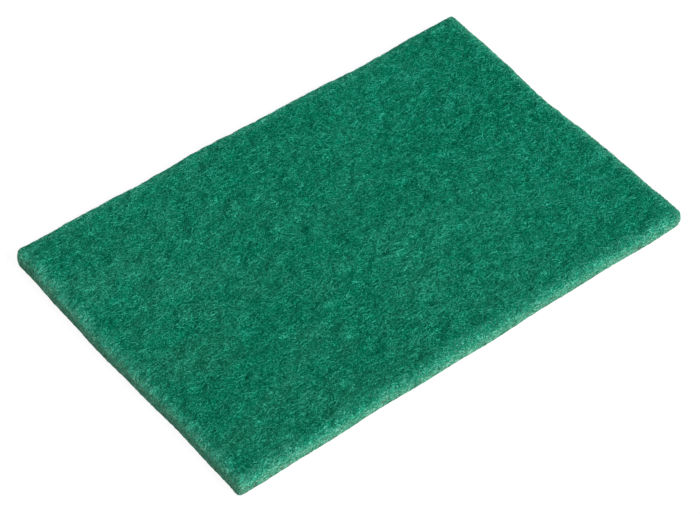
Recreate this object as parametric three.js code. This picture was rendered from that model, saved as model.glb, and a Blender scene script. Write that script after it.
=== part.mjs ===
// Nylon scouring pad: one rectangle of thick felted nylon web, knife-cut from a wider sheet.
// Units are millimetres. The pad lies on its flat underside, with the origin under its middle,
// +X along its length, +Y across it and +Z up.
import * as THREE from "three";
import { ParametricGeometry } from "three/addons/geometries/ParametricGeometry.js";
import { mergeGeometries, mergeVertices } from "three/addons/utils/BufferGeometryUtils.js";

// The cut piece. The knife ran a little out of square: the left end is wider than the right by
// the taper, and both ends lean over their width.
const LENGTH = 230;
const WIDTH = 150;
const THICKNESS = 8;
const END_TAPER = 3.6;
const END_LEAN = 0.8;

// The corners of the cut, seen from above: two are worn rounder than the others.
const BACK_LEFT_RADIUS = 4.5;
const BACK_RIGHT_RADIUS = 1.8;
const FRONT_RIGHT_RADIUS = 3;
const FRONT_LEFT_RADIUS = 2;

// The section through an edge: the top face rolls softly down to the cut face,
// and the lower edge is only just rounded.
const ROLL_WIDTH = 4.5;
const ROLL_DROP = 2.3;
const FOOT_RADIUS = 0.8;

// The wander of each cut side from a straight line. A wave reaches outwards by its reach,
// repeats at its length and starts to rise at its start, along the side from its middle.
const BACK_CUT = [
  { reach: 0.48, length: 146, start: -47 },
  { reach: 0.28, length: 57, start: 22 },
];
const FRONT_CUT = [
  { reach: 0.23, length: 96, start: -18.5 },
  { reach: 0.16, length: 41, start: 5 },
];
const LEFT_CUT = [
  { reach: 0.49, length: 114, start: -13.5 },
  { reach: 0.12, length: 33, start: 6.4 },
];
const RIGHT_CUT = [
  { reach: 0.88, length: 134, start: 47 },
  { reach: 0.36, length: 59, start: 23.5 },
];

// The relief of the web: soft clumps of strands with hollows between them, finer knots over both,
// and tufts that stand out of the cut faces.
const CLUMP_DEPTH = 0.9;
const CLUMP_SPACING = 12;
const KNOT_DEPTH = 0.3;
const KNOT_SPACING = 6.5;
const TUFT_DEPTH = 0.5;
const TUFT_SPACING = 8;
const SPACING_SPREAD = 0.35;
const WAVE_COUNT = 14;

// The spacing of the surface's points, the steps of its round edges, the flat panel below,
// and how close two points lie that are one.
const CELL = 3.1;
const ROLL_STEPS = 4;
const FACE_STEPS = 3;
const FOOT_STEPS = 2;
const PANEL_INSET = 14;
const SEAM_GAP = 0.0005;

const WEB_GREEN = 0x127055;
const GOLDEN_ANGLE = Math.PI * (3 - Math.sqrt(5));

// Waves that cross each other at the golden angle, each with its own length and phase, make an even,
// never repeating field of bumps, from -1 in the deepest hollows to 1 on the highest bumps.
function bumps(x, y, spacing) {
  let sum = 0;
  for (let k = 1; k <= WAVE_COUNT; k += 1) {
    const heading = k * GOLDEN_ANGLE;
    const along = x * Math.cos(heading) + y * Math.sin(heading);
    const length = spacing * (1 + SPACING_SPREAD * Math.sin(k));
    sum += Math.cos((2 * Math.PI * along) / length + k * k);
  }
  return Math.tanh(sum / Math.sqrt(WAVE_COUNT));
}

// How far the web lies below the highest clumps.
function hollow(x, y) {
  const clumps = (CLUMP_DEPTH / 2) * (1 - bumps(x, y, CLUMP_SPACING));
  const knots = (KNOT_DEPTH / 2) * (1 - bumps(x, y, KNOT_SPACING));
  return clumps + knots;
}

// How far a cut side stands out from its straight line, at a place along it.
function wander(cut, along) {
  return cut.reduce(
    (sum, wave) => sum + wave.reach * Math.sin((2 * Math.PI * (along - wave.start)) / wave.length),
    0,
  );
}

// The lines of the point grid along one direction, as shares from -1 to 1 of half its size:
// even cells across the face, and closer ones where it rolls over at both edges.
function gridLines(size) {
  const half = size / 2;
  const flat = half - ROLL_WIDTH;
  const cells = Math.round((2 * flat) / CELL);
  const roll = [];
  for (let i = 0; i < ROLL_STEPS; i += 1) {
    const angle = ((Math.PI / 2) * i) / ROLL_STEPS;
    roll.push(half - ROLL_WIDTH * (1 - Math.cos(angle)));
  }
  const lines = roll.map((place) => -place);
  for (let i = 0; i <= cells; i += 1) lines.push(-flat + (2 * flat * i) / cells);
  lines.push(...roll.reverse());
  return lines.map((place) => place / half);
}

const LINES_ALONG = gridLines(LENGTH);
const LINES_ACROSS = gridLines(WIDTH);

// Half the width of the pad at a share of its length, -1 at the left end and 1 at the right.
function halfWidth(shareAlong) {
  return (WIDTH - (END_TAPER * shareAlong) / 2) / 2;
}

// The radius of the corner on the same side of the middle as a point.
function cornerRadius(shareAlong, shareAcross) {
  if (shareAcross > 0) return shareAlong > 0 ? BACK_RIGHT_RADIUS : BACK_LEFT_RADIUS;
  return shareAlong > 0 ? FRONT_RIGHT_RADIUS : FRONT_LEFT_RADIUS;
}

// Where a point of the square-cut sheet lies in the pad as it was cut. Each corner square is drawn
// in to a quarter disc, then the sides take their wander, which fades towards the middle.
function cutPlan(shareAlong, shareAcross) {
  const halfLength = LENGTH / 2;
  const half = halfWidth(shareAlong);
  const radius = cornerRadius(shareAlong, shareAcross);
  let alongX = Math.abs(shareAlong) * halfLength;
  let alongY = Math.abs(shareAcross) * half;
  const pastX = alongX - (halfLength - radius);
  const pastY = alongY - (half - radius);
  if (pastX > 0 && pastY > 0) {
    const drawn = Math.max(pastX, pastY) / Math.hypot(pastX, pastY);
    alongX += pastX * (drawn - 1);
    alongY += pastY * (drawn - 1);
  }
  const x = Math.sign(shareAlong) * alongX;
  const y = Math.sign(shareAcross) * alongY;
  const end = shareAlong > 0 ? RIGHT_CUT : LEFT_CUT;
  const side = shareAcross > 0 ? BACK_CUT : FRONT_CUT;
  return new THREE.Vector2(
    x + shareAlong * wander(end, y) + (END_LEAN * y) / (2 * half),
    y + shareAcross * wander(side, x),
  );
}

// How far a point lies in from the nearest side of the square-cut sheet.
function inset(shareAlong, shareAcross) {
  const fromEnd = (1 - Math.abs(shareAlong)) * (LENGTH / 2);
  const fromSide = (1 - Math.abs(shareAcross)) * halfWidth(shareAlong);
  return Math.min(fromEnd, fromSide);
}

// The top face: level with shallow clumps, then a quarter ellipse down to the cut.
function topFace() {
  const place = (u, v, target) => {
    const shareAlong = LINES_ALONG[Math.round(u * (LINES_ALONG.length - 1))];
    const shareAcross = LINES_ACROSS[Math.round(v * (LINES_ACROSS.length - 1))];
    const plan = cutPlan(shareAlong, shareAcross);
    const short = Math.max(0, 1 - inset(shareAlong, shareAcross) / ROLL_WIDTH);
    const rise = Math.sqrt(1 - short * short);
    const height = THICKNESS - ROLL_DROP * (1 - rise) - rise * hollow(plan.x, plan.y);
    target.set(plan.x, plan.y, height);
  };
  return new ParametricGeometry(place, LINES_ALONG.length - 1, LINES_ACROSS.length - 1);
}

// The points of the pad's rim, once around from the front left corner, as pairs of shares.
function rimShares() {
  const shares = [];
  const lastAlong = LINES_ALONG.length - 1;
  const lastAcross = LINES_ACROSS.length - 1;
  for (let i = 0; i < lastAlong; i += 1) shares.push([LINES_ALONG[i], -1]);
  for (let i = 0; i < lastAcross; i += 1) shares.push([1, LINES_ACROSS[i]]);
  for (let i = lastAlong; i > 0; i -= 1) shares.push([LINES_ALONG[i], 1]);
  for (let i = lastAcross; i > 0; i -= 1) shares.push([-1, LINES_ACROSS[i]]);
  return shares;
}

// The rim drawn in evenly from the cut, as points of the plan.
function rim(drawIn) {
  return rimShares().map(([shareAlong, shareAcross]) => {
    const depth = drawIn(shareAlong, shareAcross);
    const x = shareAlong * (1 - depth / (LENGTH / 2));
    const y = shareAcross * (1 - depth / halfWidth(shareAlong));
    return cutPlan(x, y);
  });
}

// The cut face from the floor up: the rounded lower edge, then the face itself, from which
// tufts of the web stand out between the two edges.
function wallRings() {
  const rings = [];
  for (let i = 0; i < FOOT_STEPS; i += 1) {
    const angle = ((Math.PI / 2) * i) / FOOT_STEPS;
    const height = FOOT_RADIUS * (1 - Math.cos(angle));
    rings.push({ height, points: rim(() => FOOT_RADIUS * (1 - Math.sin(angle))) });
  }
  const faceHeight = THICKNESS - ROLL_DROP - FOOT_RADIUS;
  for (let i = 0; i <= FACE_STEPS; i += 1) {
    const share = i / FACE_STEPS;
    const height = FOOT_RADIUS + faceHeight * share;
    const reach = TUFT_DEPTH * Math.sin(Math.PI * share);
    const tuft = (shareAlong, shareAcross) => {
      const plan = cutPlan(shareAlong, shareAcross);
      return -reach * bumps(plan.x + height, plan.y - height, TUFT_SPACING);
    };
    rings.push({ height, points: rim(tuft) });
  }
  return rings;
}

function wall(rings) {
  const count = rings[0].points.length;
  const place = (u, v, target) => {
    const ring = rings[Math.round(v * (rings.length - 1))];
    const point = ring.points[Math.round(u * count) % count];
    target.set(point.x, point.y, ring.height);
  };
  return new ParametricGeometry(place, count, rings.length - 1);
}

// The underside: a flat panel, and a fan from each of its corners out to the rim.
function underside(rimPoints) {
  const panelX = LENGTH / 2 - PANEL_INSET;
  const panelY = halfWidth(1) - PANEL_INSET;
  const panel = [
    new THREE.Vector2(-panelX, -panelY),
    new THREE.Vector2(panelX, -panelY),
    new THREE.Vector2(panelX, panelY),
    new THREE.Vector2(-panelX, panelY),
  ];
  const count = rimPoints.length;
  const nearest = (point) => {
    if (point.y < 0) return count + (point.x < 0 ? 0 : 1);
    return count + (point.x < 0 ? 3 : 2);
  };
  const index = [count, count + 2, count + 1, count, count + 3, count + 2];
  for (let i = 0; i < count; i += 1) {
    const next = (i + 1) % count;
    const hub = nearest(rimPoints[i]);
    const nextHub = nearest(rimPoints[next]);
    index.push(i, hub, next);
    if (hub !== nextHub) index.push(next, hub, nextHub);
  }
  const points = [...rimPoints, ...panel].map((point) => new THREE.Vector3(point.x, point.y, 0));
  return new THREE.BufferGeometry().setFromPoints(points).setIndex(index);
}

// The pad's skin is its top face, its cut face all round and its underside, sewn into one solid.
function padGeometry() {
  const rings = wallRings();
  const faces = [topFace(), wall(rings), underside(rings[0].points)];
  for (const face of faces) {
    face.deleteAttribute("normal");
    face.deleteAttribute("uv");
  }
  const skin = mergeVertices(mergeGeometries(faces), SEAM_GAP);
  skin.computeVertexNormals();
  return skin;
}

const webMaterial = new THREE.MeshStandardMaterial({
  name: "nylon_web",
  color: WEB_GREEN,
  roughness: 0.92,
  metalness: 0,
});

const pad = new THREE.Mesh(padGeometry(), webMaterial);
pad.name = "pad";

const scouringPad = new THREE.Group();
scouringPad.name = "scouring_pad";
scouringPad.add(pad);

export default scouringPad;
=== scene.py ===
# Nylon scouring pad: one rectangle of green felted nylon web, knife-cut on its four sides and lying flat.
# The frame has +X along the pad, +Y across it and +Z up, with the underside at z = 0. Blender works in
# metres; the forms below are computed in millimetres and scaled as their meshes are made.
import math

import bpy
import numpy as np
from mathutils import Matrix, Vector


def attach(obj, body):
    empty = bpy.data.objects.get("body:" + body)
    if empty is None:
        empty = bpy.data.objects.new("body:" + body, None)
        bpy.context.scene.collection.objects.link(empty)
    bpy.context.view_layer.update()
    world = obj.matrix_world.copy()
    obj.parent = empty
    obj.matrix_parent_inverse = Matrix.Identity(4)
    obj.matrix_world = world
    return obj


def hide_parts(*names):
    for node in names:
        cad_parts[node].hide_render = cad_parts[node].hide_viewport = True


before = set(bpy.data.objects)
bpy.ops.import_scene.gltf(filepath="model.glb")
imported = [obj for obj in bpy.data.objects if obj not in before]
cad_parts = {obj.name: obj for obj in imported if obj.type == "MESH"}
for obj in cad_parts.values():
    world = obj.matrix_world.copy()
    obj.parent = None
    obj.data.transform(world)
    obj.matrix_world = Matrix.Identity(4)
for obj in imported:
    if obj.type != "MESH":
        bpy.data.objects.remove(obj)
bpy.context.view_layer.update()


# Camera
# The photograph's view: from high over the front left corner, with a long lens held two degrees off
# level.
CAMERA_AZIMUTH = math.radians(-40.19)
CAMERA_ELEVATION = math.radians(47.75)
CAMERA_ROLL = math.radians(2.0)
CAMERA_DISTANCE = 1.278
CAMERA_TARGET = Vector((-0.00462, -0.00525, 0))
SENSOR = 36
LENS = 161.59
SCENE = bpy.context.scene

camera_back = Vector((
    math.sin(CAMERA_AZIMUTH) * math.cos(CAMERA_ELEVATION),
    -math.cos(CAMERA_AZIMUTH) * math.cos(CAMERA_ELEVATION),
    math.sin(CAMERA_ELEVATION),
))
level_right = Vector((0, 0, 1)).cross(camera_back).normalized()
level_up = camera_back.cross(level_right)
camera_right = math.cos(CAMERA_ROLL) * level_right + math.sin(CAMERA_ROLL) * level_up
camera_up = math.cos(CAMERA_ROLL) * level_up - math.sin(CAMERA_ROLL) * level_right

camera_data = bpy.data.cameras.new("photo_camera")
camera_data.lens = LENS
camera_data.sensor_width = SENSOR
camera = bpy.data.objects.new("photo_camera", camera_data)
camera.matrix_world = (
    Matrix.Translation(CAMERA_TARGET + CAMERA_DISTANCE * camera_back)
    @ Matrix((camera_right, camera_up, camera_back)).transposed().to_4x4()
)
SCENE.collection.objects.link(camera)
SCENE.camera = camera
SCENE.view_settings.view_transform = "Standard"


# Light and floor
# A wide soft lamp stands low at the front right of the pad, in an even white room. The pad lies on a
# white floor, which bounces light up to it and shows the camera a faint shadow.
SUN_STRENGTH = 2.98
SUN_WIDTH = math.radians(25)
SUN_FROM = Vector((0.277, -0.79, 0.547))
WHITE = (1, 1, 1, 1)
ROOM_STRENGTH = 0.48
FLOOR_SIZE = 8
FLOOR_BOUNCE = 0.8
FLOOR_SHADED = 0.13
FLOOR_GLOW = 0.92

sun_data = bpy.data.lights.new("soft_lamp", "SUN")
sun_data.energy = SUN_STRENGTH
sun_data.angle = SUN_WIDTH
sun = bpy.data.objects.new("soft_lamp", sun_data)
sun.rotation_euler = SUN_FROM.to_track_quat("Z", "Y").to_euler()
SCENE.collection.objects.link(sun)


def seen_mask(tree):
    """1 for light on its way to the camera, straight, off a gloss or through something clear, and 0 for
    the rest: the largest of those three values of the Light Path node, as a socket."""
    path = tree.nodes.new("ShaderNodeLightPath")
    straight_or_gloss = tree.nodes.new("ShaderNodeMath")
    seen = tree.nodes.new("ShaderNodeMath")
    straight_or_gloss.operation = "MAXIMUM"
    seen.operation = "MAXIMUM"
    tree.links.new(path.outputs["Is Camera Ray"], straight_or_gloss.inputs[0])
    tree.links.new(path.outputs["Is Glossy Ray"], straight_or_gloss.inputs[1])
    tree.links.new(straight_or_gloss.outputs[0], seen.inputs[0])
    tree.links.new(path.outputs["Is Transmission Ray"], seen.inputs[1])
    return seen.outputs[0]


# The room lights the pad evenly, and is plain white where it is seen itself.
world = bpy.data.worlds.new("white_room")
SCENE.world = world
world.use_nodes = True
room = world.node_tree
room.nodes.clear()
room_out = room.nodes.new("ShaderNodeOutputWorld")
room_light = room.nodes.new("ShaderNodeBackground")
seen_white = room.nodes.new("ShaderNodeBackground")
room_mix = room.nodes.new("ShaderNodeMixShader")
room_light.inputs["Color"].default_value = WHITE
room_light.inputs["Strength"].default_value = ROOM_STRENGTH
seen_white.inputs["Color"].default_value = WHITE
room.links.new(seen_mask(room), room_mix.inputs["Fac"])
room.links.new(room_light.outputs[0], room_mix.inputs[1])
room.links.new(seen_white.outputs[0], room_mix.inputs[2])
room.links.new(room_mix.outputs[0], room_out.inputs["Surface"])

# The floor is seen as a glow with a little shading in it; the light that it bounces comes off white.
floor_material = bpy.data.materials.new("floor_white")
floor_material.use_nodes = True
floor_tree = floor_material.node_tree
floor_tree.nodes.clear()
floor_out = floor_tree.nodes.new("ShaderNodeOutputMaterial")
floor_mix = floor_tree.nodes.new("ShaderNodeMixShader")
floor_bounce = floor_tree.nodes.new("ShaderNodeBsdfDiffuse")
floor_shaded = floor_tree.nodes.new("ShaderNodeBsdfDiffuse")
floor_glow = floor_tree.nodes.new("ShaderNodeEmission")
floor_seen = floor_tree.nodes.new("ShaderNodeAddShader")
floor_bounce.inputs["Color"].default_value = (FLOOR_BOUNCE, FLOOR_BOUNCE, FLOOR_BOUNCE, 1)
floor_shaded.inputs["Color"].default_value = (FLOOR_SHADED, FLOOR_SHADED, FLOOR_SHADED, 1)
floor_glow.inputs["Strength"].default_value = FLOOR_GLOW
floor_tree.links.new(floor_shaded.outputs[0], floor_seen.inputs[0])
floor_tree.links.new(floor_glow.outputs[0], floor_seen.inputs[1])
floor_tree.links.new(seen_mask(floor_tree), floor_mix.inputs["Fac"])
floor_tree.links.new(floor_bounce.outputs[0], floor_mix.inputs[1])
floor_tree.links.new(floor_seen.outputs[0], floor_mix.inputs[2])
floor_tree.links.new(floor_mix.outputs[0], floor_out.inputs["Surface"])

floor_mesh = bpy.data.meshes.new("floor")
floor_half = FLOOR_SIZE / 2
floor_mesh.from_pydata(
    [(-floor_half, -floor_half, 0), (floor_half, -floor_half, 0),
     (floor_half, floor_half, 0), (-floor_half, floor_half, 0)],
    [], [(0, 1, 2, 3)],
)
floor_mesh.materials.append(floor_material)
floor = bpy.data.objects.new("floor", floor_mesh)
SCENE.collection.objects.link(floor)


# The felted web
# The pad's body is a thick felted sheet of crimped nylon strands, bonded with resin. A knife cuts it
# from a wider sheet, so the four sides wander, the top edge rolls over softly and the cut faces are
# open and pale. This piece is the mass of the web under the loose strands: clumps, hollows and pits.
METRES = 0.001
LENGTH = 230
WIDTH = 150
THICKNESS = 8
END_TAPER = 3.6
END_LEAN = 0.8
BACK_LEFT_RADIUS = 4.5
BACK_RIGHT_RADIUS = 1.8
FRONT_RIGHT_RADIUS = 3
FRONT_LEFT_RADIUS = 2
ROLL_WIDTH = 4.5
ROLL_DROP = 2.3
FOOT_RADIUS = 0.8
FACE_TOP = THICKNESS - ROLL_DROP
FLAT_X = LENGTH / 2 - ROLL_WIDTH
FLAT_Y = WIDTH / 2 - ROLL_WIDTH

# How each side's cut strays, as waves of a reach, a length and a starting place.
BACK_CUT = ((0.48, 146, -47), (0.28, 57, 22))
FRONT_CUT = ((0.23, 96, -18.5), (0.16, 41, 5))
LEFT_CUT = ((0.49, 114, -13.5), (0.12, 33, 6.4))
RIGHT_CUT = ((0.88, 134, 47), (0.36, 59, 23.5))

CLUMP_DEPTH = 0.9
CLUMP_SPACING = 12
KNOT_DEPTH = 0.3
KNOT_SPACING = 6.5
TUFT_DEPTH = 0.5
TUFT_SPACING = 8
PIT_DEPTH = 0.45
PIT_SPACING = 2.6
CUT_PITS = 0.3
SOLE_RISE = 0.25
SOLE_EDGE = 6

WAVE_COUNT = 14
SPACING_SPREAD = 0.35
GOLDEN_ANGLE = math.pi * (3 - math.sqrt(5))


def bumps(x, y, spacing):
    """WAVE_COUNT waves that cross at the golden angle, each with its own length and phase, summed and
    squashed: an even, never repeating field from -1 in the hollows to 1 on the bumps."""
    total = np.zeros_like(x)
    for k in range(1, WAVE_COUNT + 1):
        along = x * math.cos(k * GOLDEN_ANGLE) + y * math.sin(k * GOLDEN_ANGLE)
        total += np.cos(2 * math.pi * along / (spacing * (1 + SPACING_SPREAD * math.sin(k))) + k * k)
    return np.tanh(total / math.sqrt(WAVE_COUNT))


def hollow(x, y):
    """How far the web's top lies below its highest clumps: large clumps with finer knots over them."""
    clumps = CLUMP_DEPTH / 2 * (1 - bumps(x, y, CLUMP_SPACING))
    return clumps + KNOT_DEPTH / 2 * (1 - bumps(x, y, KNOT_SPACING))


def wander(cut, along):
    """How far a knife cut strays outwards at a place along it: the sum of its sine waves."""
    return sum(reach * np.sin(2 * math.pi * (along - start) / length) for reach, length, start in cut)


def cut_plan(x, y):
    """Moves a point of the true rectangle to where the cut puts it: y is narrowed towards the right end,
    a point past a corner's centre is pulled in onto that corner's arc, and each side adds its wander,
    in full on the side and less towards the middle. The ends lean by a share of y."""
    share_along = x / (LENGTH / 2)
    half = (WIDTH - END_TAPER * share_along / 2) / 2
    y = y * half / (WIDTH / 2)
    share_across = y / half
    radius = np.where(
        x < 0,
        np.where(y > 0, BACK_LEFT_RADIUS, FRONT_LEFT_RADIUS),
        np.where(y > 0, BACK_RIGHT_RADIUS, FRONT_RIGHT_RADIUS),
    )
    past_x = np.maximum(np.abs(x) - (LENGTH / 2 - radius), 0)
    past_y = np.maximum(np.abs(y) - (half - radius), 0)
    reach = np.hypot(past_x, past_y)
    in_corner = (past_x > 0) & (past_y > 0)
    shrink = np.where(in_corner, np.maximum(past_x, past_y) / np.where(reach > 0, reach, 1), 1)
    round_x = x - np.sign(x) * past_x * (1 - shrink)
    round_y = y - np.sign(y) * past_y * (1 - shrink)
    end = np.where(share_along > 0, wander(RIGHT_CUT, round_y), wander(LEFT_CUT, round_y))
    side = np.where(share_across > 0, wander(BACK_CUT, round_x), wander(FRONT_CUT, round_x))
    plan_x = round_x + share_along * end + END_LEAN * round_y / (2 * half)
    plan_y = round_y + share_across * side
    return plan_x, plan_y


# The section through an edge, from where the roll starts: how far in from the cut each point lies,
# its height, its outward and upward parts of the normal, and its distance along the section. The roll
# is a quarter of an ellipse, the face is straight and the foot is a quarter of a circle.
ROLL_STEPS = 24
FACE_STEPS = 20
FOOT_STEPS = 12
roll_turn = np.linspace(0, math.pi / 2, ROLL_STEPS + 1)
face_share = np.linspace(0, 1, FACE_STEPS + 1)[1:]
foot_turn = np.linspace(0, math.pi / 2, FOOT_STEPS + 1)[1:]
section_inset = np.concatenate([
    ROLL_WIDTH * (1 - np.sin(roll_turn)), np.zeros_like(face_share), FOOT_RADIUS * (1 - np.cos(foot_turn)),
])
section_height = np.concatenate([
    THICKNESS - ROLL_DROP * (1 - np.cos(roll_turn)),
    FACE_TOP + (FOOT_RADIUS - FACE_TOP) * face_share,
    FOOT_RADIUS * (1 - np.sin(foot_turn)),
])
roll_out = ROLL_DROP * np.sin(roll_turn)
roll_up = ROLL_WIDTH * np.cos(roll_turn)
roll_size = np.hypot(roll_out, roll_up)
section_out = np.concatenate([roll_out / roll_size, np.ones_like(face_share), np.cos(foot_turn)])
section_up = np.concatenate([roll_up / roll_size, np.zeros_like(face_share), -np.sin(foot_turn)])
section_run = np.concatenate([
    [0], np.cumsum(np.hypot(np.diff(section_inset), np.diff(section_height))),
])
ROLL_RUN = float(section_run[ROLL_STEPS])
FACE_RUN = float(section_run[ROLL_STEPS + FACE_STEPS])
SHEET_RUN = float(section_run[-1])

# The mesh value "edge" tells the materials how far over the edge a point is. It starts a little before
# the roll, where the web turns paler.
PALE_START = 2.5
EDGE_RUNS = (-PALE_START, ROLL_RUN, FACE_RUN, SHEET_RUN)
EDGE_VALUES = (0, 1, 2, 2.2)


def skin(x, y):
    """Lays a point of the unrolled sheet on the pad: flat in the middle, then over the roll, down the
    cut face and round the foot. Gives the points, the normals, how far over the edge each point is
    (0 on top, 1 at the end of the roll, 2 at the foot), and how deep in a hollow, from 0 to 1."""
    past_x = np.maximum(np.abs(x) - FLAT_X, 0)
    past_y = np.maximum(np.abs(y) - FLAT_Y, 0)
    run = np.minimum(np.maximum(past_x, past_y), SHEET_RUN)
    inset = np.interp(run, section_run, section_inset)
    height = np.interp(run, section_run, section_height)
    outward = np.interp(run, section_run, section_out)
    upward = np.interp(run, section_run, section_up)
    stretch = np.where(run > 0, (ROLL_WIDTH - inset) / np.where(run > 0, run, 1), 0)
    true_x = np.sign(x) * (np.minimum(np.abs(x), FLAT_X) + past_x * stretch)
    true_y = np.sign(y) * (np.minimum(np.abs(y), FLAT_Y) + past_y * stretch)
    plan_x, plan_y = cut_plan(true_x, true_y)
    away = np.hypot(past_x, past_y)
    away = np.where(away > 0, away, 1)
    out_x = np.sign(x) * past_x / away
    out_y = np.sign(y) * past_y / away
    depth = hollow(plan_x, plan_y)
    on_face = np.clip((run - ROLL_RUN) / (FACE_RUN - ROLL_RUN), 0, 1)
    tuft = TUFT_DEPTH * np.sin(math.pi * on_face) * bumps(plan_x + height, plan_y - height, TUFT_SPACING)
    points = np.stack([
        plan_x + out_x * tuft,
        plan_y + out_y * tuft,
        height - np.maximum(upward, 0) * depth,
    ], axis=-1)
    normals = np.stack([out_x * outward, out_y * outward, upward], axis=-1)
    normals[..., 2] = np.where(run > 0, normals[..., 2], 1)
    from_flat = np.maximum(np.abs(x) - FLAT_X, np.abs(y) - FLAT_Y)
    edge = np.interp(from_flat, EDGE_RUNS, EDGE_VALUES)
    return points, normals, edge, depth / (CLUMP_DEPTH + KNOT_DEPTH)


def build_mesh(name, points, faces, values, uv):
    """A smooth mesh from points in millimetres and an array of faces, all with the same number of
    corners, with named point values and one UV map for each corner."""
    mesh = bpy.data.meshes.new(name)
    corners = faces.shape[1]
    mesh.vertices.add(len(points))
    mesh.vertices.foreach_set("co", (points * METRES).astype(np.float32).ravel())
    mesh.loops.add(faces.size)
    mesh.loops.foreach_set("vertex_index", faces.astype(np.int32).ravel())
    mesh.polygons.add(len(faces))
    mesh.polygons.foreach_set("loop_start", np.arange(0, faces.size, corners, dtype=np.int32))
    mesh.polygons.foreach_set("use_smooth", np.ones(len(faces), dtype=bool))
    mesh.update(calc_edges=True)
    for value_name, value in values.items():
        made = mesh.attributes.new(value_name, "FLOAT", "POINT")
        made.data.foreach_set("value", value.astype(np.float32).ravel())
    layer = mesh.uv_layers.new(name="OFBake")
    layer.uv.foreach_set("vector", uv.astype(np.float32).ravel())
    piece = bpy.data.objects.new(name, mesh)
    SCENE.collection.objects.link(piece)
    return piece


WEB_COLUMNS = 241
WEB_ROWS = 154
ROLL_ROWS = 6
FACE_ROWS = 5
FOOT_ROWS = 2


def web_lines(flat_half, count):
    """The sheet's grid lines along one axis: even over the flat, then down the section's parts."""
    middle = np.linspace(-flat_half, flat_half, count)
    roll = np.linspace(0, ROLL_RUN, ROLL_ROWS + 1)[1:]
    face = np.linspace(ROLL_RUN, FACE_RUN, FACE_ROWS + 1)[1:]
    foot = np.linspace(FACE_RUN, SHEET_RUN, FOOT_ROWS + 1)[1:]
    past = flat_half + np.concatenate([roll, face, foot])
    return np.concatenate([-past[::-1], middle, past])


# The top and the sides, with small pits between the strands. They are shallower on the cut faces and
# end at the foot.
sheet_x, sheet_y = np.meshgrid(
    web_lines(FLAT_X, WEB_COLUMNS), web_lines(FLAT_Y, WEB_ROWS), indexing="ij"
)
web_points, web_normals, web_edge, web_hollow = skin(sheet_x, sheet_y)
pits = PIT_DEPTH / 2 * (1 - bumps(web_points[..., 0] + web_points[..., 2],
                                  web_points[..., 1] - web_points[..., 2], PIT_SPACING))
pits = pits * (1 - (1 - CUT_PITS) * np.clip(web_edge, 0, 1))
sheet_run = np.maximum(np.abs(sheet_x) - FLAT_X, np.abs(sheet_y) - FLAT_Y)
pits = pits * (1 - np.clip((sheet_run - FACE_RUN) / (SHEET_RUN - FACE_RUN), 0, 1))
web_points = web_points - web_normals * pits[..., None]

# The underside is the same grid laid flat inside the foot, hollowed a little so that the pad rests
# on its clumps and its rim.
rim_reach = (ROLL_WIDTH - FOOT_RADIUS) / SHEET_RUN
sole_x = np.sign(sheet_x) * (
    np.minimum(np.abs(sheet_x), FLAT_X) + rim_reach * np.maximum(np.abs(sheet_x) - FLAT_X, 0)
)
sole_y = np.sign(sheet_y) * (
    np.minimum(np.abs(sheet_y), FLAT_Y) + rim_reach * np.maximum(np.abs(sheet_y) - FLAT_Y, 0)
)
edge_gap = np.minimum(
    LENGTH / 2 - FOOT_RADIUS - np.abs(sole_x), WIDTH / 2 - FOOT_RADIUS - np.abs(sole_y)
)
sole_plan_x, sole_plan_y = cut_plan(sole_x, sole_y)
sole_hollow = (1 - bumps(sole_plan_x, sole_plan_y, KNOT_SPACING)) / 2
sole_height = SOLE_RISE * np.clip(edge_gap / SOLE_EDGE, 0, 1) * sole_hollow
sole_points = np.stack([sole_plan_x, sole_plan_y, sole_height], axis=-1)

# Both grids share the points of their outermost lines, which closes the skin at the foot.
top_index = np.arange(sheet_x.size).reshape(sheet_x.shape)
inner = (slice(1, -1), slice(1, -1))
sole_index = top_index.copy()
sole_index[inner] = sheet_x.size + np.arange(sole_index[inner].size).reshape(sole_index[inner].shape)


def grid_faces(index):
    """The four-cornered faces of a grid of point numbers, facing up where x and y rise with them."""
    return np.stack([index[:-1, :-1], index[1:, :-1], index[1:, 1:], index[:-1, 1:]], -1).reshape(-1, 4)


# The UV map holds the top in its lower half and the underside in its upper half.
UV_HALF = 0.49
patch_u = (sheet_x - sheet_x.min()) / np.ptp(sheet_x)
patch_v = (sheet_y - sheet_y.min()) / np.ptp(sheet_y)
top_uv = np.stack([patch_u, UV_HALF * patch_v], -1).reshape(-1, 2)
sole_uv = np.stack([patch_u, 1 - UV_HALF + UV_HALF * patch_v], -1).reshape(-1, 2)
top_faces = grid_faces(top_index)
web = build_mesh(
    "felted_web",
    np.concatenate([web_points.reshape(-1, 3), sole_points[inner].reshape(-1, 3)]),
    np.concatenate([top_faces, grid_faces(sole_index)[:, ::-1]]),
    {
        "edge": np.concatenate([web_edge.ravel(), np.zeros(sole_hollow[inner].size)]),
        "hollow": np.concatenate([web_hollow.ravel(), sole_hollow[inner].ravel()]),
    },
    np.concatenate([top_uv[top_faces], sole_uv[top_faces[:, ::-1]]]),
)


def new_group(name, inputs, outputs):
    """An empty shader node group with float inputs {name: default} and outputs {name: socket type}."""
    group = bpy.data.node_groups.new(name, "ShaderNodeTree")
    for socket, value in inputs.items():
        made = group.interface.new_socket(socket, in_out="INPUT", socket_type="NodeSocketFloat")
        made.default_value = value
    for socket, kind in outputs.items():
        group.interface.new_socket(socket, in_out="OUTPUT", socket_type=kind)
    return group


def use_group(tree, group, **values):
    """A group node in a tree, with its input values or links, and its output sockets."""
    made = tree.nodes.new("ShaderNodeGroup")
    made.node_tree = group
    for socket, value in values.items():
        if isinstance(value, (int, float)):
            made.inputs[socket].default_value = value
        else:
            tree.links.new(value, made.inputs[socket])
    return made.outputs


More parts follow.
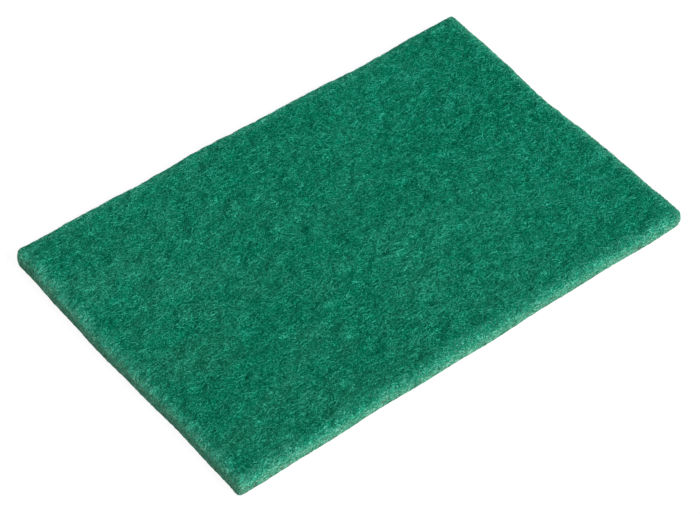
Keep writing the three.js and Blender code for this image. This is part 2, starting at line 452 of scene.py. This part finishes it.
def maths(tree, operation, a, b=None, c=None, clamp=False):
    """A maths node on one to three numbers or sockets, and its output socket."""
    made = tree.nodes.new("ShaderNodeMath")
    made.operation = operation
    made.use_clamp = clamp
    for slot, value in enumerate((a, b, c)):
        if isinstance(value, (int, float)):
            made.inputs[slot].default_value = value
        elif value is not None:
            tree.links.new(value, made.inputs[slot])
    return made.outputs[0]


# The felt's lay: the sheet was felted as it ran along +X, so its strands and patches lie a little more
# that way, and the noise fields below are stretched along X.
LAY_STRETCH = (0.68, 1.2, 1.0)


def laid_place(tree):
    """The object's coordinates, squeezed so that a noise field over them is stretched along X."""
    place = tree.nodes.new("ShaderNodeTexCoord")
    made = tree.nodes.new("ShaderNodeMapping")
    made.inputs["Scale"].default_value = LAY_STRETCH
    tree.links.new(place.outputs["Object"], made.inputs["Vector"])
    return made.outputs["Vector"]


# Patches: the web lies thicker and thinner over the pad, in cloudy patches.
PATCH_DETAIL = 3
patches = new_group("web_patches", {"Scale": 100, "Low": 0.4, "High": 0.6}, {"Patch": "NodeSocketFloat"})
patches_in = patches.nodes.new("NodeGroupInput")
patches_out = patches.nodes.new("NodeGroupOutput")
patches_noise = patches.nodes.new("ShaderNodeTexNoise")
patches_range = patches.nodes.new("ShaderNodeMapRange")
patches_noise.inputs["Detail"].default_value = PATCH_DETAIL
patches.links.new(laid_place(patches), patches_noise.inputs["Vector"])
patches.links.new(patches_in.outputs["Scale"], patches_noise.inputs["Scale"])
patches.links.new(patches_noise.outputs["Fac"], patches_range.inputs["Value"])
patches.links.new(patches_in.outputs["Low"], patches_range.inputs["From Min"])
patches.links.new(patches_in.outputs["High"], patches_range.inputs["From Max"])
patches.links.new(patches_range.outputs["Result"], patches_out.inputs["Patch"])


def patch_mask(tree, scale, low, high):
    """The patches group in a tree: 0 where its noise is at low, 1 where it is at high, even between.
    With low above high it is the other way round."""
    return use_group(tree, patches, Scale=scale, Low=low, High=high)["Patch"]


# Strand lines: the level lines of a noise field are thin curling lines, like the strands just under
# the surface. Seed moves the field, so that layers don't match.
LINE_DETAIL = 1.5
LINE_DISTORTION = 0.4
LINE_LEVEL = 0.5
lines = new_group("strand_lines", {"Scale": 500, "Seed": 0, "Width": 0.05}, {"Line": "NodeSocketFloat"})
lines_in = lines.nodes.new("NodeGroupInput")
lines_out = lines.nodes.new("NodeGroupOutput")
lines_noise = lines.nodes.new("ShaderNodeTexNoise")
lines_noise.noise_dimensions = "4D"
lines_noise.inputs["Detail"].default_value = LINE_DETAIL
lines_noise.inputs["Distortion"].default_value = LINE_DISTORTION
lines.links.new(laid_place(lines), lines_noise.inputs["Vector"])
lines.links.new(lines_in.outputs["Scale"], lines_noise.inputs["Scale"])
lines.links.new(lines_in.outputs["Seed"], lines_noise.inputs["W"])
off_level = maths(lines, "ABSOLUTE", maths(lines, "SUBTRACT", lines_noise.outputs["Fac"], LINE_LEVEL))
in_widths = maths(lines, "DIVIDE", off_level, lines_in.outputs["Width"])
lines.links.new(maths(lines, "SUBTRACT", 1.0, in_widths, clamp=True), lines_out.inputs["Line"])


def line_mask(tree, scale, seed, width):
    """The strand lines group in a tree: 1 along the middle of a line, down to 0 where it ends."""
    return use_group(tree, lines, Scale=scale, Seed=seed, Width=width)["Line"]


# Tone and shading: how light the web is from place to place, about 1 on average. The finest flecks are
# painted glints and shadows where single strands cross, then come small knots, patches, and the broad
# cloudiness of the sheet, and last painted shade in the gaps between strands, which are dark pits;
# hollows are darker by painted shade. Each part is a scale, the noise levels between which it goes
# from dark to light, and its depth.
TONE_AND_SHADING_PARTS = ((2400, 0.38, 0.62, 1.0), (1300, 0.34, 0.66, 0.24), (500, 0.34, 0.66, 0.05),
              (120, 0.36, 0.64, 0.02), (40, 0.38, 0.62, 0.06), (14, 0.35, 0.65, 0.10),
              (1000, 0.67, 0.55, 0.64))
HOLLOW_SHADE = 0.06
tone_and_shading = new_group("web_tone_and_shading", {"Hollow": 0.5}, {"Tone and shading": "NodeSocketFloat"})
tone_in = tone_and_shading.nodes.new("NodeGroupInput")
tone_out = tone_and_shading.nodes.new("NodeGroupOutput")
tone_and_shading_now = maths(tone_and_shading, "MULTIPLY_ADD", tone_in.outputs["Hollow"], -HOLLOW_SHADE, 1 + HOLLOW_SHADE / 2)
for tone_scale, tone_low, tone_high, tone_depth in TONE_AND_SHADING_PARTS:
    cloud = patch_mask(tone_and_shading, tone_scale, tone_low, tone_high)
    cloud = maths(tone_and_shading, "MULTIPLY_ADD", cloud, tone_depth, 1 - tone_depth / 2)
    tone_and_shading_now = maths(tone_and_shading, "MULTIPLY", tone_and_shading_now, cloud)
tone_and_shading.links.new(tone_and_shading_now, tone_out.inputs["Tone and shading"])


def linear(red, green, blue):
    """A colour given as it looks on a screen, 0 to 255, as the linear values that a shader takes, by
    the screen standard's curve: a straight foot and a power above it."""
    shares = np.array([red, green, blue]) / 255
    low = shares / 12.92
    high = ((shares + 0.055) / 1.055) ** 2.4
    return (*np.where(shares <= 0.04045, low, high).tolist(), 1.0)


def ramp_up(tree, value, start, end):
    """0 at start and before it, 1 at end and past it, and even between, as a socket."""
    made = tree.nodes.new("ShaderNodeMapRange")
    made.inputs["From Min"].default_value = start
    made.inputs["From Max"].default_value = end
    tree.links.new(value, made.inputs["Value"])
    return made.outputs["Result"]


def colour_ramp(tree, value, deep, middle, pale):
    """Colours from deep at 0 over middle at a half to pale at 1, as a socket."""
    made = tree.nodes.new("ShaderNodeValToRGB")
    made.color_ramp.elements[0].color = deep
    made.color_ramp.elements[1].color = pale
    made.color_ramp.elements.new(0.5).color = middle
    tree.links.new(value, made.inputs["Fac"])
    return made.outputs["Color"]


# In a Mix node set to colours, these sockets hold the two colours and the result.
MIX_FIRST = 6
MIX_SECOND = 7
MIX_RESULT = 2


def blend_colours(tree, share, first, second, kind="MIX"):
    """A share of the second colour or colour socket mixed into the first, or added to it, as a socket."""
    made = tree.nodes.new("ShaderNodeMix")
    made.data_type = "RGBA"
    made.blend_type = kind
    tree.links.new(share, made.inputs[0])
    for slot, value in ((MIX_FIRST, first), (MIX_SECOND, second)):
        if isinstance(value, tuple):
            made.inputs[slot].default_value = value
        else:
            tree.links.new(value, made.inputs[slot])
    return made.outputs[MIX_RESULT]


def read_value(tree, name):
    """A point value of the mesh, such as how far a point is on a cut face, as a socket."""
    made = tree.nodes.new("ShaderNodeAttribute")
    made.attribute_name = name
    return made.outputs["Fac"]


# Colour: the web's dyed green, from deep to pale by its lightness, brighter over the rolled rim, partly
# from paler fibres and partly a painted sheen of the fuzz there catching the light, and greyer down the
# cut face, where the resin shows. Bands are in the mesh value "edge", clouds are a scale and two noise
# levels, and ends are places along X in metres.
TOP_COLOURS = (linear(0, 54, 30), linear(0, 147, 110), linear(76, 215, 184))
# The rim's colours are paler fibres with a painted sheen of fuzz that catches the light.
RIM_COLOURS_AND_SHEEN = (linear(0, 84, 58), linear(26, 182, 144), linear(144, 235, 212))
CUT_COLOURS = (linear(20, 80, 58), linear(88, 193, 157), linear(188, 242, 222))
RIM_BAND = (0.1, 0.9)
CUT_BAND = (0.7, 1.8)
END_BAND = (0.1105, 0.1125)
END_CUT = 0.5
END_GREY = linear(98, 174, 146)
END_GREY_SHARE = 0.3
colour = new_group("web_colour", {"Light": 0.5, "Edge": 0}, {"Color": "NodeSocketColor"})
colour_in = colour.nodes.new("NodeGroupInput")
colour_out = colour.nodes.new("NodeGroupOutput")
light_now = colour_in.outputs["Light"]
edge_now = colour_in.outputs["Edge"]
place_now = colour.nodes.new("ShaderNodeTexCoord")
place_axes = colour.nodes.new("ShaderNodeSeparateXYZ")
colour.links.new(place_now.outputs["Object"], place_axes.inputs[0])
to_end = ramp_up(colour, maths(colour, "ABSOLUTE", place_axes.outputs["X"]), *END_BAND)
cut_now = maths(colour, "MULTIPLY", edge_now, maths(colour, "MULTIPLY_ADD", to_end, END_CUT, 1))
colour_top = colour_ramp(colour, light_now, *TOP_COLOURS)
colour_rim_and_sheen = colour_ramp(colour, light_now, *RIM_COLOURS_AND_SHEEN)
colour_cut = colour_ramp(colour, light_now, *CUT_COLOURS)
end_grey = maths(colour, "MULTIPLY", to_end, END_GREY_SHARE)
colour_cut = blend_colours(colour, end_grey, colour_cut, END_GREY)
colour_side = blend_colours(colour, ramp_up(colour, cut_now, *CUT_BAND), colour_rim_and_sheen, colour_cut)
colour_now = blend_colours(colour, ramp_up(colour, edge_now, *RIM_BAND), colour_top, colour_side)

# Painted shade: the small pits that the knife opens in the rim and the cut faces are painted dark.
EDGE_PIT_SHADE = linear(0, 84, 60)
PIT_SHADE_CLOUD = (1300, 0.54, 0.62)
PIT_SHADE_BAND = (0.1, 0.7)
PIT_SHADE_SHARE = 0.6
pit_shade_band = maths(colour, "MULTIPLY", ramp_up(colour, edge_now, *PIT_SHADE_BAND), PIT_SHADE_SHARE)
pit_shade_share = maths(colour, "MULTIPLY", patch_mask(colour, *PIT_SHADE_CLOUD), pit_shade_band)
colour_now = blend_colours(colour, pit_shade_share, colour_now, EDGE_PIT_SHADE)

# Brown specks of resin and grit show in the cut faces, more of them towards the foot.
CUT_SPECK = linear(96, 100, 76)
SPECK_CLOUD = (620, 0.57, 0.65)
SPECK_BAND = (1.0, 2.3)
speck_band = ramp_up(colour, edge_now, *SPECK_BAND)
speck_share = maths(colour, "MULTIPLY", patch_mask(colour, *SPECK_CLOUD), speck_band)
colour_now = blend_colours(colour, speck_share, colour_now, CUT_SPECK)

# Pale wisps of strands show along the rim at the left end, and with them painted light brightens that
# rim, which faces away from the lamp.
WISP_AND_RIM_LIGHT_COLOUR = linear(84, 226, 192)
WISP_CLOUD = (260, 0.46, 0.60)
WISP_LINE = (520, 6, 0.09)
WISP_RISE = (0.35, 0.6)
WISP_FALL = (1.1, 0.8)
WISP_END = (-0.1, -0.112)
WISP_AND_RIM_LIGHT_SHARE = 0.7
wisp_and_rim_light = maths(colour, "MULTIPLY", patch_mask(colour, *WISP_CLOUD), line_mask(colour, *WISP_LINE))
wisp_rise = ramp_up(colour, edge_now, *WISP_RISE)
wisp_fall = ramp_up(colour, edge_now, *WISP_FALL)
wisp_and_rim_light = maths(colour, "MULTIPLY", wisp_and_rim_light, maths(colour, "MULTIPLY", wisp_rise, wisp_fall))
wisp_end = ramp_up(colour, place_axes.outputs["X"], *WISP_END)
wisp_and_rim_light = maths(colour, "MULTIPLY", wisp_and_rim_light, maths(colour, "MULTIPLY", wisp_end, WISP_AND_RIM_LIGHT_SHARE))
colour_now = blend_colours(colour, wisp_and_rim_light, colour_now, WISP_AND_RIM_LIGHT_COLOUR)

# Dust lies over the web in faint warm patches, more towards the left end and the front. It tints the
# light strands and not the dark gaps.
HAZE_COLOUR = (0.025, 0.0, 0.0, 1)
HAZE_CLOUD = (75, 0.42, 0.62)
HAZE_DEPTH = 0.8
HAZE_LEAST = 0.1
HAZE_REACH = 0.10
HAZE_FRONT = 0.5
HAZE_START = 0.35


def to_low_side(tree, place, clamp):
    """1 at one haze reach on an axis's low side, a half in the middle and 0 at one reach on the high."""
    return maths(tree, "MULTIPLY_ADD", place, -0.5 / HAZE_REACH, 0.5, clamp=clamp)


leftward = to_low_side(colour, place_axes.outputs["X"], False)
frontward = to_low_side(colour, place_axes.outputs["Y"], True)
haze_side = maths(colour, "MULTIPLY_ADD", frontward, HAZE_FRONT, leftward)
haze_side = maths(colour, "SUBTRACT", haze_side, HAZE_START)
haze_cloud = maths(colour, "MULTIPLY_ADD", patch_mask(colour, *HAZE_CLOUD), HAZE_DEPTH, HAZE_LEAST)
haze = maths(colour, "MULTIPLY", haze_side, haze_cloud)
haze = maths(colour, "MULTIPLY", haze, light_now, clamp=True)
colour_now = blend_colours(colour, haze, colour_now, HAZE_COLOUR, "ADD")
colour.links.new(colour_now, colour_out.inputs["Color"])

# The web's own material: three layers of strand lines, each with a scale, a seed and a width, over
# knots, both lighter than the matted ground between them and standing out of it a little.
WEB_LIGHT = 0.23
LINE_LIGHT = 0.34
KNOT_LIGHT = 0.1
FINE_LINES = (620, 1, 0.035)
CROSSING_LINES = (900, 4, 0.045)
WIDE_LINES = (330, 9, 0.02)
WEB_KNOTS = (300, 0.36, 0.64)
LINE_RELIEF = 0.0003
WEB_ROUGHNESS = 0.9
NYLON_SPECULAR = 0.02

web_material = bpy.data.materials.new("nylon_web")
web_material.use_nodes = True
web_tree = web_material.node_tree
web_surface = web_tree.nodes["Principled BSDF"]
web_surface.inputs["Roughness"].default_value = WEB_ROUGHNESS
web_surface.inputs["Specular IOR Level"].default_value = NYLON_SPECULAR
crossing_or_wide = maths(
    web_tree, "MAXIMUM", line_mask(web_tree, *CROSSING_LINES), line_mask(web_tree, *WIDE_LINES)
)
all_lines = maths(web_tree, "MAXIMUM", line_mask(web_tree, *FINE_LINES), crossing_or_wide)
knots = patch_mask(web_tree, *WEB_KNOTS)
# The tone carries painted shade in pits and hollows and painted glints and shadows where strands cross.
web_tone_and_shading = use_group(web_tree, tone_and_shading, Hollow=read_value(web_tree, "hollow"))["Tone and shading"]
web_light = maths(web_tree, "MULTIPLY_ADD", all_lines, LINE_LIGHT, WEB_LIGHT - KNOT_LIGHT / 2)
web_light = maths(web_tree, "MULTIPLY_ADD", knots, KNOT_LIGHT, web_light)
web_light = maths(web_tree, "MULTIPLY", web_light, web_tone_and_shading)
web_colour = use_group(web_tree, colour, Light=web_light, Edge=read_value(web_tree, "edge"))["Color"]
web_tree.links.new(web_colour, web_surface.inputs["Base Color"])
web_bump = web_tree.nodes.new("ShaderNodeBump")
web_bump.inputs["Distance"].default_value = LINE_RELIEF
web_tree.links.new(maths(web_tree, "ADD", all_lines, knots), web_bump.inputs["Height"])
web_tree.links.new(web_bump.outputs["Normal"], web_surface.inputs["Normal"])
web.data.materials.append(web_material)

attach(web, "root")
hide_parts("pad")


# The strands
# Crimped nylon strands lie over and in the web's surface, each a few millimetres of arc that rises
# from the felt and goes back into it. Resin bonds them where they cross. They are cut short on the
# sides, where they stand out a little, and pressed flat on the underside.
STRANDS_PER_PIECE = 8300
TOP_PIECES = 3
FIRST_SEED = 20
STRAND_LENGTHS = (3.0, 7.5)
STRAND_RADII = (0.055, 0.105)
STRAND_TAPER = 0.35
CURL_RADII = (1.2, 5.0)
CURL_SWAY = 0.8
STRAND_LAY = 0.44
STRAND_SINK = 0.3
STRAND_LIFTS = (0.05, 0.4)
CUT_LIFT = 0.25
SOLE_GAP = 0.02
SOLE_PRESS = 0.3
SOLE_DEPTH = 0.4

# A strand is a tube of STRAND_SIDES sides, with STRAND_RINGS rings between its two end points. Its
# share runs from 0 to 1 along it, and its rise is 0 at both ends and 1 half way. Strands of the top
# and sides lie over the whole sheet, as far as its reach.
STRAND_RINGS = 4
STRAND_SIDES = 3
STRAND_CORNERS = STRAND_RINGS * STRAND_SIDES + 2
strand_share = np.linspace(0, 1, STRAND_RINGS + 2)
strand_rise = np.sin(math.pi * strand_share)
REACH_X = FLAT_X + SHEET_RUN
REACH_Y = FLAT_Y + SHEET_RUN


def draw_strands(random, run_x, run_y):
    """Where strands run over the unrolled sheet, with each one's radius, lift and tint. A strand's
    heading turns steadily by its curl and sways once like a sine, about a random heading that leans
    towards the X axis by the sine of twice its angle. Its path is the sum of its steps, centred on a
    random place."""
    count = STRANDS_PER_PIECE
    start_x = random.uniform(-run_x, run_x, count)
    start_y = random.uniform(-run_y, run_y, count)
    length = random.uniform(*STRAND_LENGTHS, count)
    radius = random.uniform(*STRAND_RADII, count)
    curl = random.choice([-1, 1], count) / random.uniform(*CURL_RADII, count)
    heading = random.uniform(0, 2 * math.pi, count)
    heading = heading - STRAND_LAY * np.sin(2 * heading)
    sway = random.uniform(-CURL_SWAY, CURL_SWAY, count)
    lift = random.uniform(*STRAND_LIFTS, count)
    tint = random.uniform(0, 1, count)
    turn = heading[:, None] + (curl * length)[:, None] * (strand_share - 0.5) + sway[:, None] * np.sin(
        2 * math.pi * strand_share
    )
    stride = (length / (len(strand_share) - 1))[:, None]
    step_x = stride * np.cos(turn)
    step_y = stride * np.sin(turn)
    path_x = start_x[:, None] + np.cumsum(step_x, axis=1) - step_x.sum(axis=1, keepdims=True) / 2
    path_y = start_y[:, None] + np.cumsum(step_y, axis=1) - step_y.sum(axis=1, keepdims=True) / 2
    return path_x, path_y, radius[:, None], lift[:, None], tint[:, None]


def lay_on_top(path_x, path_y, radius, lift):
    """Lays strands on the top and the sides: each rises by the root of its rise to its lift and sinks
    at both ends, less on the cut faces and not at all at the foot. None goes below the floor."""
    path, normals, edge, depth = skin(
        np.clip(path_x, -REACH_X, REACH_X), np.clip(path_y, -REACH_Y, REACH_Y)
    )
    height = (lift + STRAND_SINK) * np.sqrt(strand_rise) - STRAND_SINK
    height = height * np.interp(edge, (0, 1, 2), (1, CUT_LIFT, 0))
    path = path + normals * height[..., None]
    path[..., 2] = np.maximum(path[..., 2], radius)
    return path, normals, edge, depth


def lay_under(path_x, path_y, radius, lift):
    """Lays strands on the underside: each lies just over the floor half way and goes up into the web
    at both ends."""
    plan_x, plan_y = cut_plan(path_x, path_y)
    height = radius + SOLE_GAP + (STRAND_SINK - lift * SOLE_PRESS) * (1 - strand_rise)
    path = np.stack([plan_x, plan_y, height], axis=-1)
    normals = np.broadcast_to(np.array([0.0, 0.0, -1.0]), path.shape)
    return path, normals, np.zeros(path.shape[:2]), np.full(path.shape[:2], SOLE_DEPTH)


LEAST_LENGTH = 1e-6


def unit(vectors):
    """Vectors along the last axis, each divided by its length."""
    return vectors / np.maximum(np.linalg.norm(vectors, axis=-1, keepdims=True), LEAST_LENGTH)


def tube_points(path, normals, width):
    """The corners of tubes: at each inner point of a path they stand evenly round it, a width away in
    the plane across it, and each end is one point."""
    along = unit(np.gradient(path, axis=1))
    side = unit(np.cross(along, normals))
    across = np.cross(side, along)
    turn = 2 * math.pi * np.arange(STRAND_SIDES) / STRAND_SIDES + math.pi / 2
    ring = (
        side[:, 1:-1, None, :] * np.cos(turn)[None, None, :, None]
        + across[:, 1:-1, None, :] * np.sin(turn)[None, None, :, None]
    )
    ring = path[:, 1:-1, None, :] + ring * width[:, 1:-1, None, None]
    return np.concatenate([path[:, :1], ring.reshape(len(path), -1, 3), path[:, -1:]], axis=1)


def round_corners(value):
    """A value of each path point, given to the corners that stand round it."""
    middle = np.repeat(value[:, 1:-1], STRAND_SIDES, axis=1)
    return np.concatenate([value[:, :1], middle, value[:, -1:]], axis=1)


# The triangles of one tube: a fan at each end, and two triangles between each corner, the next one
# round and the ring after it.
ring_start = np.arange(STRAND_RINGS)[:, None] * STRAND_SIDES + 1
here = ring_start + np.arange(STRAND_SIDES)
following = ring_start + (np.arange(STRAND_SIDES) + 1) % STRAND_SIDES
first_end = np.zeros_like(here[0])
last_end = np.full_like(here[0], STRAND_CORNERS - 1)
tube_faces = np.concatenate([
    np.stack([first_end, following[0], here[0]], -1),
    np.stack([here[:-1], following[:-1], following[1:]], -1).reshape(-1, 3),
    np.stack([here[:-1], following[1:], here[1:]], -1).reshape(-1, 3),
    np.stack([last_end, here[-1], following[-1]], -1),
])
first_corners = STRAND_CORNERS * np.arange(STRANDS_PER_PIECE)[:, None, None]
strand_faces = (tube_faces + first_corners).reshape(-1, 3)

# The UV map has one small square for each strand, in rows. A strand's length runs across its square
# and its girth up it; a triangle that closes the girth reads its first corner as the one after the
# last.
CELL_MARGIN = 0.1
cell_width = 1 - 2 * CELL_MARGIN
tube_u = np.concatenate([[0.0], np.repeat(strand_share[1:-1], STRAND_SIDES), [1.0]])[tube_faces]
tube_v = np.concatenate([[0.5], np.tile(np.arange(STRAND_SIDES), STRAND_RINGS), [0.5]])[tube_faces]
closes = np.ptp(tube_v, axis=1, keepdims=True) == STRAND_SIDES - 1
tube_v = np.where(closes & (tube_v == 0), STRAND_SIDES, tube_v) / STRAND_SIDES
cells = math.ceil(math.sqrt(STRANDS_PER_PIECE))
cell_number = np.arange(STRANDS_PER_PIECE)[:, None, None]
strand_uv = np.stack([
    (cell_number % cells + CELL_MARGIN + cell_width * tube_u) / cells,
    (cell_number // cells + CELL_MARGIN + cell_width * tube_v) / cells,
], -1).reshape(-1, 2)


def grow_strands(name, seed, underside):
    """Thousands of short tubes in one mesh, each as wide as its radius times a low power of its rise,
    so that it narrows to a point at both ends."""
    random = np.random.default_rng(seed)
    if underside:
        path_x, path_y, radius, lift, tint = draw_strands(random, FLAT_X, FLAT_Y)
        path, normals, edge, depth = lay_under(path_x, path_y, radius, lift)
    else:
        path_x, path_y, radius, lift, tint = draw_strands(random, REACH_X, REACH_Y)
        path, normals, edge, depth = lay_on_top(path_x, path_y, radius, lift)
    points = tube_points(path, normals, radius * strand_rise ** STRAND_TAPER)
    values = {
        "edge": round_corners(edge),
        "hollow": round_corners(depth),
        "tint": np.repeat(tint, STRAND_CORNERS, axis=1),
    }
    return build_mesh(name, points.reshape(-1, 3), strand_faces, values, strand_uv)


# The strands' material: the same dyed nylon, a few strands much paler than the rest, with small
# glints where the resin catches the light.
STRAND_LIGHT = 0.265
TINT_LIGHT = 0.46
TINT_POWER = 2
STRAND_GLINT = linear(112, 236, 204)
GLINT_CLOUD = (1500, 0.67, 0.72)
STRAND_ROUGHNESS = 0.8

strand_material = bpy.data.materials.new("nylon_strand")
strand_material.use_nodes = True
strand_tree = strand_material.node_tree
strand_surface = strand_tree.nodes["Principled BSDF"]
strand_surface.inputs["Roughness"].default_value = STRAND_ROUGHNESS
strand_surface.inputs["Specular IOR Level"].default_value = NYLON_SPECULAR
# The tone carries painted shade in pits and hollows and painted glints and shadows where strands cross.
strand_tone_and_shading = use_group(strand_tree, tone_and_shading, Hollow=read_value(strand_tree, "hollow"))["Tone and shading"]
strand_pale = maths(strand_tree, "POWER", read_value(strand_tree, "tint"), TINT_POWER)
strand_light = maths(strand_tree, "MULTIPLY_ADD", strand_pale, TINT_LIGHT, STRAND_LIGHT)
strand_light = maths(strand_tree, "MULTIPLY", strand_light, strand_tone_and_shading)
strand_edge = read_value(strand_tree, "edge")
strand_colour = use_group(strand_tree, colour, Light=strand_light, Edge=strand_edge)["Color"]
glint = patch_mask(strand_tree, *GLINT_CLOUD)
strand_colour = blend_colours(strand_tree, glint, strand_colour, STRAND_GLINT)
strand_tree.links.new(strand_colour, strand_surface.inputs["Base Color"])

for number in range(TOP_PIECES + 1):
    underside = number == TOP_PIECES
    name = "strands_underside" if underside else f"strands_top_{number + 1}"
    strands = grow_strands(name, FIRST_SEED + number, underside)
    strands.data.materials.append(strand_material)
    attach(strands, "root")
